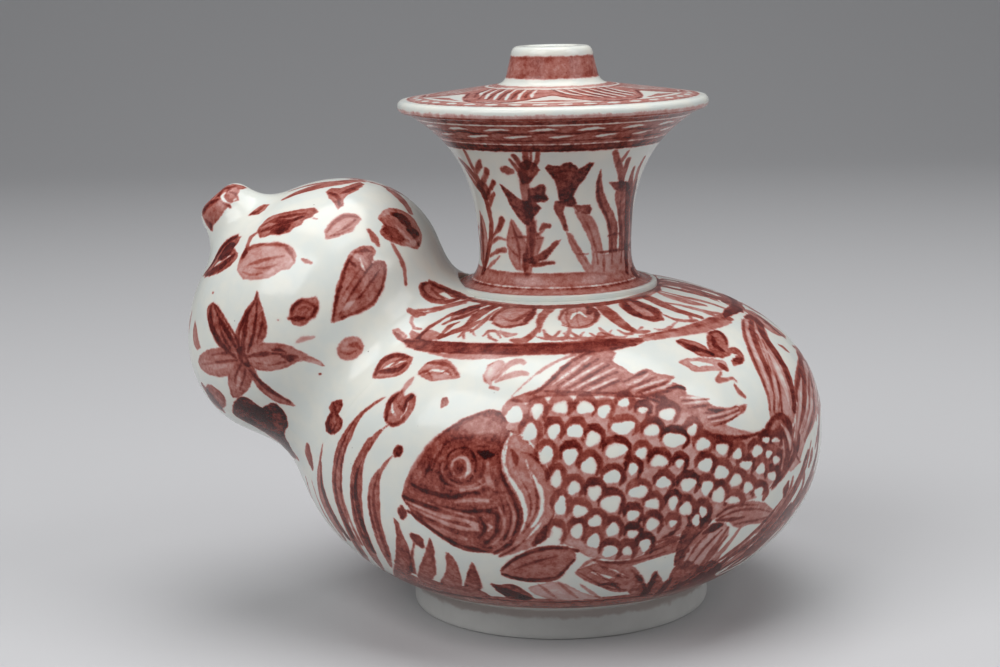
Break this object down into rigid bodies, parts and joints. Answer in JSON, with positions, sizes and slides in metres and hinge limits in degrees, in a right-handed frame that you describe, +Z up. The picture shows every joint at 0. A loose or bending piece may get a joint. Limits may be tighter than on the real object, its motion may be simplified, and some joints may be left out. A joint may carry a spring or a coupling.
{
  "type": "kendi water vessel",
  "caption": "Handleless porcelain water vessel with a squat belly, a trumpet neck with a closed mouth plate and collar, and a swelling spout; painted with fish and waterweed",
  "frame": {"origin": "under the middle of the whole outline, on the plane that the foot stands on", "axes": "+Z up along the neck; the spout points to -X and up; +Y is the vessel's far side when the spout is on the left"},
  "size_m": [0.2274, 0.1896, 0.2],
  "materials": {
    "painted_glaze": "glossy off-white glaze over rust-red brush painting",
    "bare_clay": "thinly glazed and wiped foot, dull pale clay"
  },
  "bodies": {
    "root": {"foot_ring": "bare_clay", "lower_body": "painted_glaze", "upper_body": "painted_glaze", "neck_ring": "painted_glaze", "neck": "painted_glaze", "mouth_plate": "painted_glaze", "mouth_collar": "painted_glaze", "spout_bulb": "painted_glaze", "spout_tip": "painted_glaze"}
  },
  "joints": []
}
